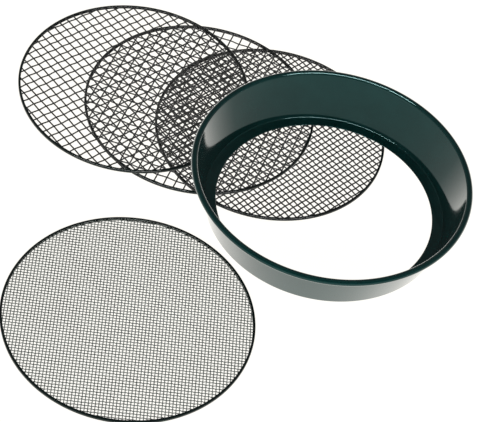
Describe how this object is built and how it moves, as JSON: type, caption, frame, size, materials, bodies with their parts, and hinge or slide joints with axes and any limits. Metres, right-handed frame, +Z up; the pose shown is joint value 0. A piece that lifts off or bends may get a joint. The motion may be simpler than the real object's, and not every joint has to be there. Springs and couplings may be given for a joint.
{
  "type": "soil sieve",
  "caption": "Round garden soil sieve: a deep flared steel frame with a rolled rim and an inward flange, and loose interchangeable wire screens fanned out beside it.",
  "frame": {"origin": "on the floor, under the middle of the whole set's plan box", "axes": "+Z up; the frame's axis stands at x 0.13, y 0.044; the fan of screens runs from there towards -X and +Y, and the fine screen lies towards -X and -Y"},
  "size_m": [0.6299, 0.7029, 0.0841],
  "materials": {
    "frame_coat": "gloss",
    "rim_wire_steel": "satin",
    "screen_rim_coat": "gloss",
    "screen_wire_coat": "satin",
    "fine_cloth_coat": "satin"
  },
  "bodies": {
    "frame": {"frame_shell": "frame_coat", "frame_rim_wire": "rim_wire_steel"},
    "small_screen": {"small_screen_rim": "screen_rim_coat", "small_screen_warp_wires": "screen_wire_coat", "small_screen_weft_wires": "screen_wire_coat"},
    "coarse_screen": {"coarse_screen_rim": "screen_rim_coat", "coarse_screen_warp_wires": "screen_wire_coat", "coarse_screen_weft_wires": "screen_wire_coat"},
    "medium_screen": {"medium_screen_rim": "screen_rim_coat", "medium_screen_warp_wires": "screen_wire_coat", "medium_screen_weft_wires": "screen_wire_coat"},
    "fine_screen": {"fine_screen_rim": "screen_rim_coat", "fine_screen_cloth": "fine_cloth_coat"}
  },
  "joints": [
    {"name": "small_screen_slide", "type": "slide", "parent": "frame", "child": "small_screen", "axis": [0.5822, -0.8131, 0], "range_m": [0, 0.1537]},
    {"name": "coarse_screen_slide", "type": "slide", "parent": "frame", "child": "coarse_screen", "axis": [0.8091, -0.5876, 0], "range_m": [0, 0.2365]},
    {"name": "medium_screen_slide", "type": "slide", "parent": "frame", "child": "medium_screen", "axis": [0.8878, -0.4602, 0], "range_m": [0, 0.3216]},
    {"name": "fine_screen_slide", "type": "slide", "parent": "frame", "child": "fine_screen", "axis": [-0.6769, -0.7361, 0], "range_m": [0, 0.15]}
  ]
}
